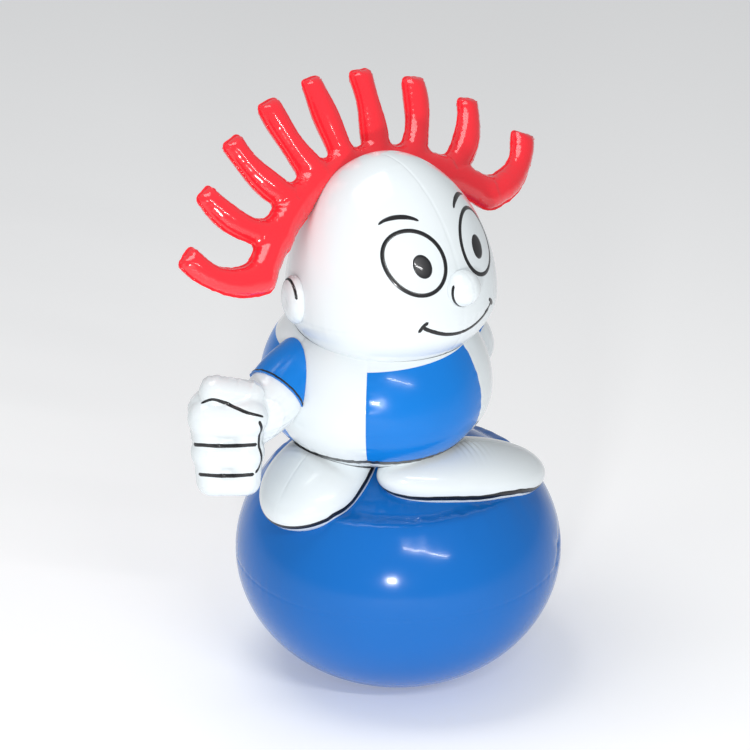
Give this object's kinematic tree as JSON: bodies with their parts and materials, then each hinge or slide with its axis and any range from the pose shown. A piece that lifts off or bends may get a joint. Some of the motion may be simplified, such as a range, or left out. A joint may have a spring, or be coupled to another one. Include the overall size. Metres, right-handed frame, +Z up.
{
  "type": "inflatable man figure on a ball",
  "caption": "Air-filled PVC man figure with a red tube crest, round trunk, closed hands and big shoes, standing on a squashed ball base.",
  "frame": {"origin": "centre of the flat spot on which the ball rests", "axes": "+Z up; the figure faces -Y, its own right hand is on -X"},
  "size_m": [0.7753, 0.6166, 1.1471],
  "materials": {
    "film_white": "glossy white PVC film, pulled smooth by the air, with small puckers at the welds",
    "film_blue": "glossy blue PVC film with a small sharp highlight",
    "film_red": "glossy red PVC film, welded flat round the outline of the crest"
  },
  "bodies": {
    "root": {"ball_base": "film_blue", "foot_right": "film_white", "foot_left": "film_white", "torso": "film_white", "head": "film_white", "nose": "film_white", "ear_right": "film_white", "ear_left": "film_white", "sleeve_right": "film_blue", "sleeve_left": "film_blue", "hand_right": "film_white", "hand_left": "film_white", "hair": "film_red"}
  },
  "joints": []
}
